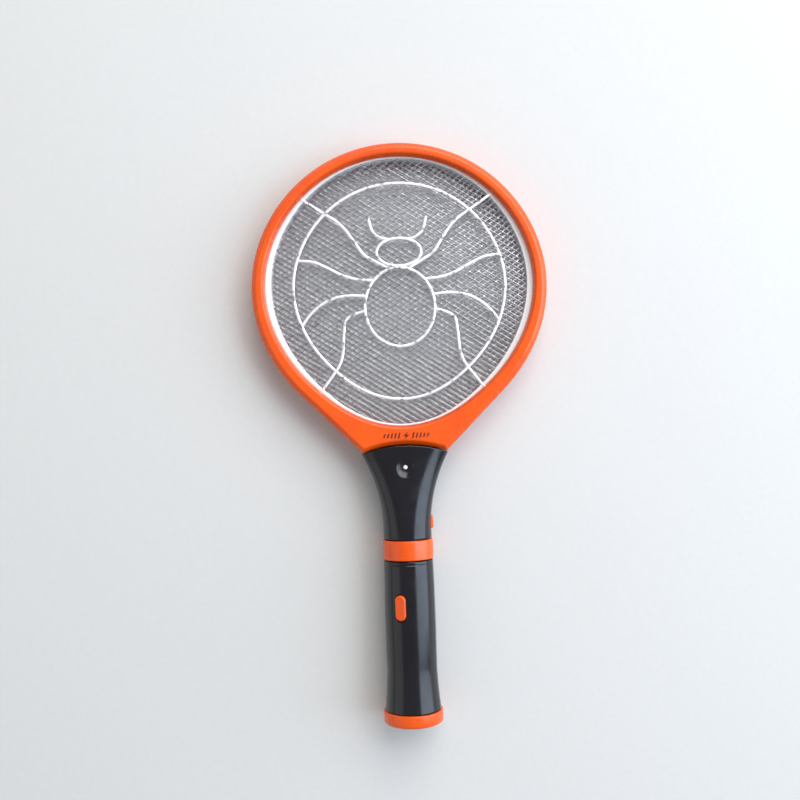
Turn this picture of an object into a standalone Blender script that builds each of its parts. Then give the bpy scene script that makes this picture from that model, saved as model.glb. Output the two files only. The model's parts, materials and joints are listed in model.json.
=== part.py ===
"""Electric fly swatter: a two-sided mesh head on a hollow neck, with a battery torch for its handle.

The swatter lies on its back. +Y runs from the torch to the head, +Z is the front, and the origin is
on the plane that it lies on, under the middle of its length. Lengths here are in millimetres, and
each mesh is scaled to metres as it is made. Each piece is placed under one of two empties: "swatter"
sits on the handle's axis at the tail, and "torch" is the same point turned with the torch.
"""

import math

import bmesh
import bpy

MM = 0.001
GAP = 0.3

# Whole object, measured along the handle's axis from the torch's end face.
LENGTH = 414.0
HEAD_Y = 308.0
HEAD_RADIUS = 106.0
AXIS_HEIGHT = 21.2
TORCH_TURN = math.radians(-22.5)

# Head: radii in the plane of the head, heights from its middle plane.
OPENING_RADIUS = 96.4
OPENING_DIP = 5.2
OUTER_DIP = 3.0
SHOULDER_REACH = 103.0
NECK_ARC_RADIUS = 92.0
NECK_ARC_Y = HEAD_Y - 202.5
FRAME_TOP = 12.0
FRAME_WALL = 2.0
FRAME_ROOF = 9.6
LIP_WALL = 3.4
LIP_UNDERSIDE = 5.7
GUARD_HEIGHTS = (4.75, 5.25)
SPACER_HEIGHTS = (0.8, 4.3)
ELECTRODE_HEIGHTS = (-0.3, 0.3)
GUARD_OVERLAP = 5.5
SPACER_BAND = (0.6, 6.2)
LEAD_SLOT_HEIGHT = 2.2
LEAD_SLOT_ANGLE = math.radians(5)
RING_STATIONS = 48

# Neck and its joint with the torch.
SHELL_WALL = 2.0
SPIGOT_RADIUS = 14.0
SPIGOT_BORE = 12.0
SPIGOT_ENDS = (121.5, 122.5)
NECK_START = 130.7
NECK_RADIUS = 17.2
NECK_WAIST_Y = 138.9
NECK_FLARE = 0.00495
NECK_END_HEIGHT = 13.4
NECK_END_POWER = 3.0
COLLAR = (116.2, 130.1)
COLLAR_RADIUS = 18.1
COLLAR_BORE = 14.3
HALF_STEPS = 12

# Torch.
GRIP = (9.3, 115.6)
GRIP_RADIUS = 18.05
GRIP_BARREL = 0.45
GRIP_FLARE = 2.6
GRIP_WALL = 1.8
BEZEL_SPIGOT = (18.8, 17.3)
BEZEL_SPIGOT_END = 6.6
BEZEL_DEPTH = 9.0
BEZEL_BORE = 19.2
LENS_WINDOW = 16.4
CELL_RADIUS = 7.25
CELL_LENGTH = 50.5
CELL_START = 26.3
CELL_OFFSET = 7.45

# Controls.
BUTTON_Y = 83.5
BUTTON_SIZE = (7.8, 18.0)
BUTTON_TOP = 18.9
BUTTON_TRAVEL = 1.5
SWITCH_Y = 142.0
SWITCH_SIZE = (9.0, 7.0)
SWITCH_REACH = (14.6, 18.8)
SWITCH_TRAVEL = 5.0
LED_Y = 181.8

SCREW_HEAD_Z = -7.3
SCREW_WELL_Z = -7.0
FRAME_SCREW = (20.0, 202.3)
NECK_SCREW = (16.0, 180.0)
GRIP_SCREW_Y = 106.0
SHANK_HOLE = 1.45
WELL_RADIUS = 3.1
BOSS_RADII = (3.4, 4.6)


# ---------------------------------------------------------------- helpers


def clear_scene():
    for obj in list(bpy.data.objects):
        bpy.data.objects.remove(obj)


def finish(name, colour, roughness, metallic=0.0):
    """A Principled material of one colour."""
    material = bpy.data.materials.new(name)
    material.use_nodes = True
    shader = material.node_tree.nodes["Principled BSDF"]
    shader.inputs["Base Color"].default_value = (*colour, 1.0)
    shader.inputs["Roughness"].default_value = roughness
    shader.inputs["Metallic"].default_value = metallic
    material.diffuse_color = (*colour, 1.0)
    return material


def empty(name, parent=None, location=(0, 0, 0), turn=0.0):
    obj = bpy.data.objects.new(name, None)
    bpy.context.scene.collection.objects.link(obj)
    obj.parent = parent
    obj.location = [v * MM for v in location]
    obj.rotation_euler = (0, turn, 0)
    return obj


def add(name, bm, material, parent, location=(0, 0, 0), rotation=(0, 0, 0)):
    """Makes the object: its mesh is in millimetres until here, measured from its own origin."""
    bmesh.ops.recalc_face_normals(bm, faces=bm.faces)
    bmesh.ops.scale(bm, vec=(MM, MM, MM), verts=bm.verts)
    mesh = bpy.data.meshes.new(name)
    bm.to_mesh(mesh)
    bm.free()
    mesh.shade_smooth()
    mesh.set_sharp_from_angle(angle=math.radians(30))
    mesh.materials.append(material)
    obj = bpy.data.objects.new(name, mesh)
    bpy.context.scene.collection.objects.link(obj)
    obj.parent = parent
    obj.location = [v * MM for v in location]
    obj.rotation_euler = rotation
    return obj


def boolean(obj, tool, operation="DIFFERENCE"):
    """Cuts the tool from the object, or joins it on, and hides the tool."""
    tool.hide_render = True
    tool.display_type = "WIRE"
    modifier = obj.modifiers.new(tool.name, "BOOLEAN")
    modifier.object = tool
    modifier.operation = operation


def skin(rings, wrap=False, strip_ends=False):
    """A closed body through rings of equally many points.

    The last ring joins the first where wrap is set. Otherwise each end is one face or, for a section
    that runs out along one side and back along the other, a strip between the two sides.
    """
    bm = bmesh.new()
    rows = [[bm.verts.new(point) for point in ring] for ring in rings]
    count = len(rows[0])
    pairs = list(zip(rows, rows[1:]))
    if wrap:
        pairs.append((rows[-1], rows[0]))
    for row, after in pairs:
        for i in range(count):
            j = (i + 1) % count
            bm.faces.new((row[i], row[j], after[j], after[i]))
    for row in () if wrap else (rows[0], rows[-1]):
        if strip_ends:
            for i in range(count // 2 - 1):
                bm.faces.new((row[i], row[i + 1], row[-2 - i], row[-1 - i]))
        else:
            bm.faces.new(row)
    return bm


def turned(profile, segments=32):
    """Spins (radius, y) points about Y. A profile that starts and ends on the axis closes there."""
    bm = bmesh.new()
    verts = [bm.verts.new((radius, y, 0)) for radius, y in profile]
    edges = [bm.edges.new(pair) for pair in zip(verts, verts[1:])]
    if profile[0][0] > 0:
        edges.append(bm.edges.new((verts[-1], verts[0])))
    bmesh.ops.spin(
        bm,
        geom=verts + edges,
        cent=(0, 0, 0),
        axis=(0, 1, 0),
        angle=2 * math.pi,
        steps=segments,
        use_merge=True,
    )
    bmesh.ops.remove_doubles(bm, verts=bm.verts, dist=0.001)
    return bm


def disc(radius, low, high, segments=32):
    return turned([(0, low), (radius, low), (radius, high), (0, high)], segments)


def block(size, bevel=0.0):
    """A box about its own centre, with its edges rounded by bevel."""
    bm = bmesh.new()
    bmesh.ops.create_cube(bm, size=1)
    bmesh.ops.scale(bm, vec=size, verts=bm.verts)
    if bevel:
        bmesh.ops.bevel(
            bm, geom=bm.edges[:], offset=bevel, segments=2, profile=0.5, affect="EDGES"
        )
    return bm


def prism(outline, low, high):
    """(x, y) points extruded along Z."""
    return skin([[(x, y, z) for x, y in outline] for z in (low, high)])


def slot_outline(width, length, steps=8):
    """A slot with round ends, its length along Y."""
    points = []
    for side in (1, -1):
        for i in range(steps + 1):
            angle = math.pi * i / steps
            x = side * width / 2 * math.cos(angle)
            y = side * ((length - width) / 2 + width / 2 * math.sin(angle))
            points.append((x, y))
    return points


POINTING_UP = (math.pi / 2, 0, 0)


# ---------------------------------------------------------------- head


def ease(share):
    """1 at share 0, 0 at share 1, with a level start and end."""
    return 0.5 + 0.5 * math.cos(math.pi * min(max(share, 0), 1))


def side_dip(angle):
    """How far the lower diagonals are pulled in, as a share. The angle is from straight down."""
    degrees = math.degrees(abs(angle))
    return ease((45 - degrees) / 45) if degrees < 45 else ease((degrees - 45) / 60)


def opening_radius(angle):
    return OPENING_RADIUS - OPENING_DIP * side_dip(angle)


def neck_arc_radius(angle):
    """The head's edge against the neck: an arc whose centre is on the handle's axis."""
    reach = (HEAD_Y - NECK_ARC_Y) * math.cos(angle)
    under = reach**2 - (HEAD_Y - NECK_ARC_Y) ** 2 + NECK_ARC_RADIUS**2
    return reach - math.sqrt(under) if under > 0 else math.inf


def shoulder_radius(angle):
    """A straight shoulder at 45 degrees on each side of the neck."""
    return SHOULDER_REACH / math.cos(math.pi / 4 - abs(angle))


def outer_radius(angle):
    if abs(angle) < math.pi / 4:
        return min(neck_arc_radius(angle), shoulder_radius(angle))
    return HEAD_RADIUS - OUTER_DIP * side_dip(angle)


def shoulder_corner():
    """The angle where the shoulder meets the neck's arc, found by halving."""
    low, high = 0.0, math.pi / 8
    for _ in range(40):
        middle = (low + high) / 2
        if neck_arc_radius(middle) < shoulder_radius(middle):
            low = middle
        else:
            high = middle
    return low


def head_angles():
    """The ring's stations: even steps, and both shoulder corners."""
    corner = shoulder_corner()
    even = [2 * math.pi * (i / RING_STATIONS - 0.5) for i in range(1, RING_STATIONS + 1)]
    return sorted(even + [-corner, corner])


def head_point(radius, angle, z):
    return (radius * math.sin(angle), -radius * math.cos(angle), z)


def around_head(section):
    """Sweeps section(angle), a list of (radius, z) points, once round the head."""
    return skin(
        [[head_point(r, angle, z) for r, z in section(angle)] for angle in head_angles()],
        wrap=True,
    )


def frame_section(side):
    """A hollow rounded rim whose inner wall slopes down on to the guard.

    side is 1 at the front and -1 behind. The parting line is at height 0.
    """

    def section(angle):
        inner, outer = opening_radius(angle), outer_radius(angle)
        foot = LEAD_SLOT_HEIGHT if abs(angle) < LEAD_SLOT_ANGLE else GAP / 2
        points = [
            (inner, LIP_UNDERSIDE),
            (inner, LIP_UNDERSIDE + 0.8),
            (inner + 1.1, FRAME_TOP - 1.4),
            (inner + 1.9, FRAME_TOP - 0.4),
            (inner + 3.2, FRAME_TOP),
            (outer - 3.6, FRAME_TOP),
            (outer - 2.2, FRAME_TOP - 0.6),
            (outer - 1.0, FRAME_TOP - 1.9),
            (outer - 0.3, FRAME_TOP - 4.0),
            (outer, FRAME_TOP - 6.5),
            (outer, foot),
            (outer - FRAME_WALL, foot),
            (outer - FRAME_WALL, FRAME_ROOF),
            (inner + LIP_WALL, FRAME_ROOF),
            (inner + LIP_WALL, LIP_UNDERSIDE),
        ]
        return [(radius, side * z) for radius, z in points]

    return section


def band_section(start, end, low, high):
    """A plain band that follows the opening, from start to end beyond its edge."""

    def section(angle):
        edge = opening_radius(angle)
        return [(edge + start, low), (edge + end, low), (edge + end, high), (edge + start, high)]

    return section


def opening_plate(overlap, low, high):
    """A flat sheet that fills the opening and runs under the frame's lip."""
    edge = [head_point(opening_radius(a) + overlap, a, 0) for a in head_angles()]
    return prism([(x, y) for x, y, _ in edge], low, high)


def build_head(swatter, finishes):
    centre = (0, HEAD_Y, 0)

    def place(name, bm, slot):
        return add(name, bm, finishes[slot], swatter, centre)

    frames = {}
    for name, side in (("front", 1), ("rear", -1)):
        frames[side] = place(f"{name}_frame", around_head(frame_section(side)), "orange")
        low, high = sorted(side * z for z in SPACER_HEIGHTS)
        place(f"{name}_spacer_ring", around_head(band_section(*SPACER_BAND, low, high)), "white")
        low, high = sorted(side * z for z in GUARD_HEIGHTS)
        place(f"{name}_guard", opening_plate(GUARD_OVERLAP, low, high), "mesh")
    place("electrode_grid", opening_plate(GUARD_OVERLAP, *ELECTRODE_HEIGHTS), "mesh")
    for name, x in (("left", -FRAME_SCREW[0]), ("right", FRAME_SCREW[0])):
        fasten(f"frame_screw_{name}", (x, FRAME_SCREW[1]), frames, 10.0, swatter, finishes)


def build_leads(swatter, finishes):
    """Flat metal strips that carry the high voltage from the neck to the three meshes."""
    strip_width = 3.0
    neck_end = 176.5
    electrode_edge = HEAD_Y - opening_radius(0) - GUARD_OVERLAP - GAP
    length = electrode_edge - neck_end
    add(
        "electrode_lead",
        block((strip_width, length, 0.8)),
        finishes["brass"],
        swatter,
        (-4.5, neck_end + length / 2, 0),
    )
    # Seen from the side, the guards' strip is a T whose crossbar reaches from one guard to the other.
    bar = HEAD_Y - opening_radius(0) - SPACER_BAND[1] - 1.6
    reach = GUARD_HEIGHTS[1]
    outline = [
        (neck_end, -0.4),
        (bar, -0.4),
        (bar, -reach),
        (bar + 0.8, -reach),
        (bar + 0.8, reach),
        (bar, reach),
        (bar, 0.4),
        (neck_end, 0.4),
    ]
    rings = [[(x, y, z) for y, z in outline] for x in (3.0, 3.0 + strip_width)]
    add("guard_lead", skin(rings), finishes["brass"], swatter)


# ---------------------------------------------------------------- half shells and screws


def half_ring(y, outer, inner, side, power=2.0, bow=0.0):
    """One section of a half shell: out over its surface and back along its inside.

    outer and inner are (half width, half height), power is the superellipse's, and bow is how fully
    the section follows the arc against the head in place of a flat plane.
    """
    arc = NECK_ARC_RADIUS - GAP
    points = []
    for (width, height), order in ((outer, 1), (inner, -1)):
        for i in range(HALF_STEPS + 1)[::order]:
            angle = math.pi * i / HALF_STEPS
            across = math.copysign(abs(math.cos(angle)) ** (2 / power), math.cos(angle))
            up = max(math.sin(angle), 0.0) ** (2 / power)
            x = width * across
            z = side * (GAP / 2 + (height - GAP / 2) * up)
            points.append((x, y - bow * (arc - math.sqrt(arc**2 - x**2)), z))
    return points


def round_ring(y, outer, inner, side):
    return half_ring(y, (outer, outer), (inner, inner), side)


def fasten(name, place, shells, boss_top, parent, finishes, origin=(0, 0, 0)):
    """A screw from behind, with a boss in each half shell: place is (x, y), shells is {side: shell}."""
    x, y = place
    at = (x, y, 0)
    front_boss = disc(BOSS_RADII[0], GAP, boss_top, 16)
    rear_boss = disc(BOSS_RADII[1], -boss_top, -GAP, 16)
    pilot = disc(SHANK_HOLE, -1, 6.5, 12)
    step = [(WELL_RADIUS, -30), (WELL_RADIUS, SCREW_WELL_Z), (SHANK_HOLE, SCREW_WELL_Z), (SHANK_HOLE, 1)]
    well = turned([(0, -30), *step, (0, 1)], 16)
    for side, boss, hole in ((1, front_boss, pilot), (-1, rear_boss, well)):
        label = f"{name}_{'front' if side > 0 else 'rear'}"
        made = add(f"{label}_boss", boss, finishes["black"], parent, at, POINTING_UP)
        boolean(shells[side], made, "UNION")
        made = add(f"{label}_hole", hole, finishes["black"], parent, at, POINTING_UP)
        boolean(shells[side], made)
    screw = turned(
        [(0, -1.6), (1.7, -1.6), (2.5, -0.9), (2.5, 0), (1.15, 0), (1.15, 11.4), (0, 12.4)], 16
    )
    add(name, screw, finishes["steel"], parent, (x, y, SCREW_HEAD_Z), POINTING_UP)


# ---------------------------------------------------------------- neck


def neck_half_width(y):
    return NECK_RADIUS + NECK_FLARE * max(y - NECK_WAIST_Y, 0) ** 2


def neck_sections(side):
    """The spigot, then the body from a round start to a wide flat end that is bowed like the head."""
    rings = [
        round_ring(SPIGOT_ENDS[1], SPIGOT_RADIUS, SPIGOT_BORE, side),
        round_ring(NECK_START - GAP, SPIGOT_RADIUS, SPIGOT_BORE, side),
    ]
    end = NECK_ARC_Y + NECK_ARC_RADIUS - GAP
    steps = 12
    for i in range(steps + 1):
        share = i / steps
        y = NECK_START + (end - NECK_START) * share
        bow = share**2
        width = neck_half_width(y)
        for _ in range(8):
            arc = NECK_ARC_RADIUS - GAP
            width = neck_half_width(y - bow * (arc - math.sqrt(arc**2 - width**2)))
        height = NECK_END_HEIGHT + (NECK_RADIUS - NECK_END_HEIGHT) * ease(share)
        power = 2 + (NECK_END_POWER - 2) * share
        inner = (width - SHELL_WALL, height - SHELL_WALL)
        if i == 0:
            inner = (SPIGOT_BORE + GAP, SPIGOT_BORE + GAP)
        rings.append(half_ring(y, (width, height), inner, side, power, bow))
    return rings


def neck_top(y):
    share = (y - NECK_START) / (NECK_ARC_Y + NECK_ARC_RADIUS - GAP - NECK_START)
    return NECK_END_HEIGHT + (NECK_RADIUS - NECK_END_HEIGHT) * ease(share)


def build_neck(swatter, finishes):
    shells = {}
    for name, side in (("front", 1), ("rear", -1)):
        body = skin(neck_sections(side), strip_ends=True)
        shells[side] = add(f"neck_{name}_shell", body, finishes["black"], swatter)
    for name, x in (("left", -NECK_SCREW[0]), ("right", NECK_SCREW[0])):
        fasten(f"neck_screw_{name}", (x, NECK_SCREW[1]), shells, 11.0, swatter, finishes)

    # A shallow round dish with a small lamp in its middle.
    dish_radius, dish_depth, hole_radius = 6.5, 1.6, 1.8
    ball = (dish_radius**2 + dish_depth**2) / (2 * dish_depth)
    dish = bmesh.new()
    bmesh.ops.create_uvsphere(dish, u_segments=48, v_segments=32, radius=ball)
    top = neck_top(LED_Y)
    at = (0, LED_Y, top + ball - dish_depth)
    boolean(shells[1], add("led_dish", dish, finishes["black"], swatter, at))
    hole = disc(hole_radius, 5, 20, 16)
    at = (0, LED_Y, 0)
    boolean(shells[1], add("led_hole", hole, finishes["black"], swatter, at, POINTING_UP))
    body = [(0, -3.1), (2.2, -3.1), (2.2, -2.1), (1.5, -2.1)]
    led = [*body, (1.5, -0.6), (1.3, 0.2), (0.75, 0.75), (0, 0.95)]
    floor = top - dish_depth
    add("neck_led", turned(led, 16), finishes["clear"], swatter, (0, LED_Y, floor), POINTING_UP)
    return shells


def build_side_switch(swatter, shells, finishes):
    """A slide switch behind a slot on the parting line, on the right of the neck."""
    length, height = SWITCH_SIZE
    slot = (8.0, length + SWITCH_TRAVEL + 2 * GAP, height + 2 * GAP)
    for side, shell in shells.items():
        at = (NECK_RADIUS, SWITCH_Y + SWITCH_TRAVEL / 2, 0)
        name = f"switch_slot_{'front' if side > 0 else 'rear'}"
        boolean(shell, add(name, block(slot), finishes["black"], swatter, at))
    inside, outside = SWITCH_REACH
    knob = block((outside - inside, length, height), 0.5)
    at = ((inside + outside) / 2, SWITCH_Y, 0)
    add("side_switch_knob", knob, finishes["orange"], swatter, at)
    add("slide_switch_body", block((4.2, 14.5, 4.2)), finishes["black"], swatter, (12.0, 143.5, 0))


def build_circuit(swatter, finishes):
    """The high-voltage board and its parts, inside the neck."""
    board_top = -2.4
    on_board = board_top + GAP
    add("hv_board", block((24, 40, 1.6)), finishes["board"], swatter, (0, 154, board_top - 0.8))

    core = add("transformer_core", block((14, 15, 5)), finishes["ferrite"], swatter, (-4.5, 165, 3.2))
    window = (9.0, 10.0, 20.0)
    boolean(core, add("core_window", block(window), finishes["ferrite"], swatter, (-4.5, 165, 3.2)))
    winding = (window[0] - 2 * GAP, window[1] - 2 * GAP, 10.6)
    at = (-4.5, 165, on_board + winding[2] / 2)
    add("transformer_winding", block(winding, 1.0), finishes["winding"], swatter, at)
    at = (7.3, 165, on_board + 5)
    add("hv_capacitor", block((6, 16, 10), 0.8), finishes["capacitor"], swatter, at)

    axial = [(0, 0), (0.4, 0), (0.4, 3), (1.3, 3.2), (1.3, 7.8), (0.4, 8), (0.4, 11), (0, 11)]
    rows = (
        ("rectifier_diode_1", -10.0, "rubber"),
        ("rectifier_diode_2", -6.5, "rubber"),
        ("rectifier_diode_3", -3.0, "rubber"),
        ("bleed_resistor", 0.5, "capacitor"),
        ("base_resistor", 4.0, "capacitor"),
    )
    for name, x, slot in rows:
        add(name, turned(axial, 12), finishes[slot], swatter, (x, 138, on_board + 1.6))

    radius, steps = 2.3, 10
    angles = [math.radians(-50 + 280 * i / steps) for i in range(steps + 1)]
    outline = [(radius * math.cos(a), radius * math.sin(a)) for a in angles]
    transistor = prism(outline, on_board, on_board + 5)
    add("drive_transistor", transistor, finishes["rubber"], swatter, (5.0, 153.0, 0))

    add("neck_contact_plate", disc(11.6, 0, 1.5), finishes["board"], swatter, (0, 124, 0))


# ---------------------------------------------------------------- collar and torch


def build_collar(swatter, finishes):
    """The ring that locks the torch to the neck. Its origin is on the axis that it turns about."""
    low, high = 0.0, COLLAR[1] - COLLAR[0]
    edge = 0.7
    profile = [
        (COLLAR_BORE, low),
        (COLLAR_RADIUS - edge, low),
        (COLLAR_RADIUS, low + edge),
        (COLLAR_RADIUS, high - edge),
        (COLLAR_RADIUS - edge, high),
        (COLLAR_BORE, high),
    ]
    add("lock_collar", turned(profile, 36), finishes["orange"], swatter, (0, COLLAR[0], 0))


def grip_radius(y):
    """A slight barrel shape that flares to the torch's wide end."""
    barrel = GRIP_RADIUS - GRIP_BARREL * ((y - 70) / 45) ** 2
    return barrel + GRIP_FLARE * (max(40 - y, 0) / 30) ** 1.5


def grip_sections(side):
    """A spigot for the bezel, the grip, and a spigot for the collar."""
    rings = [
        round_ring(BEZEL_SPIGOT_END, *BEZEL_SPIGOT, side),
        round_ring(GRIP[0] - GAP, *BEZEL_SPIGOT, side),
    ]
    for y in (GRIP[0], 12, 16, 21, 27, 34, 42, 56, 70, 84, 98, 107, GRIP[1]):
        inner = SPIGOT_BORE + GAP if y == GRIP[1] else min(grip_radius(y) - GRIP_WALL, BEZEL_SPIGOT[1])
        rings.append(round_ring(y, grip_radius(y), inner, side))
    rings.append(round_ring(GRIP[1] + GAP, SPIGOT_RADIUS, SPIGOT_BORE, side))
    rings.append(round_ring(SPIGOT_ENDS[0], SPIGOT_RADIUS, SPIGOT_BORE, side))
    return rings


def build_grip(torch, finishes):
    shells = {}
    for name, side in (("front", 1), ("rear", -1)):
        body = skin(grip_sections(side), strip_ends=True)
        shells[side] = add(f"grip_{name}_shell", body, finishes["black"], torch)
    fasten("grip_screw", (0, GRIP_SCREW_Y), shells, 16.4, torch, finishes)

    width, length = BUTTON_SIZE
    hole = prism(slot_outline(width + 2 * GAP, length + 2 * GAP), 9, 25)
    boolean(shells[1], add("button_hole", hole, finishes["black"], torch, (0, BUTTON_Y, 0)))


def build_button(torch, finishes):
    """An oval button with a flange inside the grip, over a tact switch on its own board."""
    width, length = BUTTON_SIZE
    flange, foot, rise = 1.2, 12.9, 1.5
    levels = (
        (flange, foot),
        (flange, foot + rise),
        (0, foot + rise + 0.05),
        (0, BUTTON_TOP - 0.7),
        (-0.25, BUTTON_TOP - 0.2),
        (-0.8, BUTTON_TOP),
    )
    rings = []
    for grow, z in levels:
        outline = slot_outline(width + 2 * grow, length + 2 * grow)
        rings.append([(x, y, z) for x, y in outline])
    add("press_button", skin(rings), finishes["orange"], torch, (0, BUTTON_Y, 0))
    plunger_top = foot - BUTTON_TRAVEL - GAP
    board_top = 6.7
    plunger = plunger_top - board_top
    tact = [(0, 0), (3.2, 0), (3.2, 3.2), (1.6, 3.2), (1.6, plunger), (0, plunger)]
    at = (0, BUTTON_Y, board_top)
    add("tact_switch", turned(tact, 16), finishes["steel"], torch, at, POINTING_UP)
    add("button_board", block((18, 20.5, 1.4)), finishes["board"], torch, (0, 89.75, 5.7))


def cell_body():
    """An AA cell along Y, its raised end last."""
    edge, nub, rise = 0.5, 2.7, 1.2
    shoulder = CELL_LENGTH - rise
    profile = [
        (0, 0),
        (CELL_RADIUS - edge, 0),
        (CELL_RADIUS, edge),
        (CELL_RADIUS, shoulder - edge),
        (CELL_RADIUS - edge, shoulder),
        (nub, shoulder),
        (nub, CELL_LENGTH),
        (0, CELL_LENGTH),
    ]
    return turned(profile, 24)


def coil_spring(name, x, torch, finishes):
    """A round wire wound into an open coil between the contact plate and a cell."""
    wire, radius, turns, low, high = 0.4, 4.0, 3, 21.3, 25.6
    steps = 9 * turns
    curve = bpy.data.curves.new(name, "CURVE")
    curve.dimensions = "3D"
    curve.bevel_depth = wire * MM
    curve.bevel_resolution = 1
    curve.use_fill_caps = True
    spline = curve.splines.new("POLY")
    spline.points.add(steps)
    for i, point in enumerate(spline.points):
        angle = 2 * math.pi * turns * i / steps
        y = low + (high - low) * i / steps
        place = (radius * math.cos(angle), y, radius * math.sin(angle))
        point.co = (*[v * MM for v in place], 1)
    curve.materials.append(finishes["steel"])
    obj = bpy.data.objects.new(name, curve)
    bpy.context.scene.collection.objects.link(obj)
    obj.parent = torch
    obj.location = (x * MM, 0, 0)


def build_power(torch, finishes):
    """Two cells side by side, one turned end for end, between a spring plate and a link plate."""
    at = (-CELL_OFFSET, CELL_START, 0)
    add("battery_cell_1", cell_body(), finishes["cell"], torch, at)
    at = (CELL_OFFSET, CELL_START + CELL_LENGTH, 0)
    add("battery_cell_2", cell_body(), finishes["cell"], torch, at, (math.pi, 0, 0))
    coil_spring("cell_spring_1", -CELL_OFFSET, torch, finishes)
    coil_spring("cell_spring_2", CELL_OFFSET, torch, finishes)
    add("spring_plate", disc(14.0, 20.0, 20.6), finishes["brass"], torch)
    add("cell_link_plate", disc(10.8, 77.1, 77.7), finishes["brass"], torch)
    add("torch_contact_plate", disc(11.6, 118.0, 119.5), finishes["board"], torch)
    for name, x in (("contact_pin_left", -5.0), ("contact_pin_right", 5.0)):
        pin = [(0, 119.8), (1.0, 119.8), (1.0, 123.2), (0.6, 123.7), (0, 123.7)]
        add(name, turned(pin, 12), finishes["brass"], torch, (x, 0, 0))


def reflector_profile():
    """A paraboloid shell with a flat rim, in section."""
    rim, mouth, throat, depth, wall = 18.5, 16.4, 3.2, 9.5, 0.9
    front, back, steps = 5.5, 6.3, 5

    def bowl(share):
        return throat + (mouth - throat) * math.sqrt(1 - share)

    inside = [(bowl(i / steps), back + depth * i / steps) for i in range(steps + 1)]
    outside = [(r, y + wall) for r, y in reversed(inside)]
    return [(mouth, front), *inside, *outside, (mouth + 0.5, back), (rim, back), (rim, front)]


def build_lamp(torch, finishes):
    """The torch's wide end: bezel, lens, gasket, reflector and lamp."""
    radius = AXIS_HEIGHT
    bezel = [
        (LENS_WINDOW, 0),
        (radius - 2.2, 0),
        (radius - 0.65, 0.65),
        (radius, 2.2),
        (radius, BEZEL_DEPTH - 0.5),
        (radius - 0.5, BEZEL_DEPTH),
        (BEZEL_BORE, BEZEL_DEPTH),
        (BEZEL_BORE, 1.6),
        (LENS_WINDOW, 1.6),
    ]
    add("bezel", turned(bezel, 48), finishes["orange"], torch)
    add("torch_lens", disc(18.6, 1.9, 3.9, 32), finishes["clear"], torch)
    gasket = [(16.9, 4.2), (18.5, 4.2), (18.5, 5.2), (16.9, 5.2)]
    add("lens_gasket", turned(gasket, 24), finishes["rubber"], torch)
    add("reflector", turned(reflector_profile(), 24), finishes["chrome"], torch)
    dome = [(0, 9.9), (1.2, 10.2), (2.1, 11.1), (2.45, 12.3)]
    led = [*dome, (2.45, 16.9), (2.9, 16.9), (2.9, 17.9), (0, 17.9)]
    add("torch_led", turned(led, 16), finishes["clear"], torch)
    add("led_board", disc(14.0, 18.3, 19.7), finishes["board"], torch)


def main():
    clear_scene()
    finishes = {
        "orange": finish("orange_plastic", (1.0, 0.1, 0.005), 0.25),
        "black": finish("black_plastic", (0.012, 0.011, 0.017), 0.2),
        "white": finish("white_plastic", (0.75, 0.75, 0.72), 0.45),
        "mesh": finish("mesh_metal", (0.75, 0.75, 0.77), 0.35, 1.0),
        "steel": finish("steel", (0.55, 0.56, 0.58), 0.35, 1.0),
        "brass": finish("brass", (0.75, 0.55, 0.25), 0.35, 1.0),
        "chrome": finish("chrome", (0.9, 0.9, 0.9), 0.08, 1.0),
        "clear": finish("clear_plastic", (0.9, 0.95, 1.0), 0.05),
        "board": finish("circuit_board", (0.25, 0.16, 0.05), 0.5),
        "ferrite": finish("ferrite", (0.03, 0.03, 0.03), 0.7),
        "winding": finish("winding_tape", (0.8, 0.6, 0.05), 0.5),
        "capacitor": finish("capacitor_case", (0.35, 0.05, 0.02), 0.35),
        "rubber": finish("black_rubber", (0.02, 0.02, 0.02), 0.8),
        "cell": finish("cell_sleeve", (0.05, 0.08, 0.12), 0.3),
    }
    swatter = empty("swatter", None, (0, -LENGTH / 2, AXIS_HEIGHT))
    torch = empty("torch", swatter, turn=TORCH_TURN)
    build_head(swatter, finishes)
    build_leads(swatter, finishes)
    shells = build_neck(swatter, finishes)
    build_side_switch(swatter, shells, finishes)
    build_circuit(swatter, finishes)
    build_collar(swatter, finishes)
    build_grip(torch, finishes)
    build_button(torch, finishes)
    build_power(torch, finishes)
    build_lamp(torch, finishes)


main()
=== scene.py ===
"""Electric fly swatter: the surfaces, finishes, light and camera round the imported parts.

Shapes are worked out in millimetres in the swatter's own terms: x across, y from the torch's end
face, z above the handle's axis. place() turns them into metres in the row frame.
"""

import json
import math

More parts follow.
